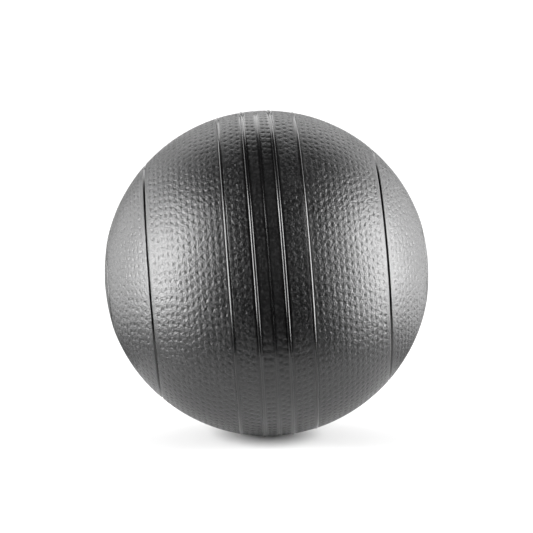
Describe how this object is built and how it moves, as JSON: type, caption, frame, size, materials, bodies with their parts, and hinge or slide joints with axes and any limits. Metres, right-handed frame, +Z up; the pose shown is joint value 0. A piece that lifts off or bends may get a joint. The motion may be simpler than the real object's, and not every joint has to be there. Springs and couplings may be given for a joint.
{
  "type": "medicine ball",
  "caption": "Weighted, inflatable rubber medicine ball with a dimpled cover, raised ribs, dark ring grooves and a needle valve at one pole.",
  "frame": {"origin": "centre of the ball", "axes": "X along the pole axis, with the valve at the -X pole; +Z up as the ball lies in the picture's pose; -Y towards the viewer"},
  "size_m": [0.2286, 0.2304, 0.2304],
  "materials": {
    "cover_rubber": "satin",
    "carcass_rubber": "matte",
    "ballast_rubber": "matte",
    "winding_thread": "matte",
    "butyl": "satin",
    "valve_rubber": "matte",
    "plug_rubber": "satin"
  },
  "bodies": {
    "ball": {"left_belt_panel": "cover_rubber", "right_belt_panel": "cover_rubber", "left_side_panel": "cover_rubber", "right_side_panel": "cover_rubber", "left_polar_panel": "cover_rubber", "right_polar_panel": "cover_rubber", "left_pole_disc": "cover_rubber", "right_pole_disc": "cover_rubber", "left_carcass_half": "carcass_rubber", "right_carcass_half": "carcass_rubber", "left_ballast_shell": "ballast_rubber", "right_ballast_shell": "ballast_rubber", "thread_winding": "winding_thread", "bladder": "butyl", "valve_patch": "butyl", "valve_body": "valve_rubber"},
    "plug": {"valve_plug": "plug_rubber"}
  },
  "joints": [
    {"name": "valve_plug_pull", "type": "slide", "parent": "ball", "child": "plug", "axis": [-1, 0, 0], "range_m": [0, 0.03]}
  ]
}
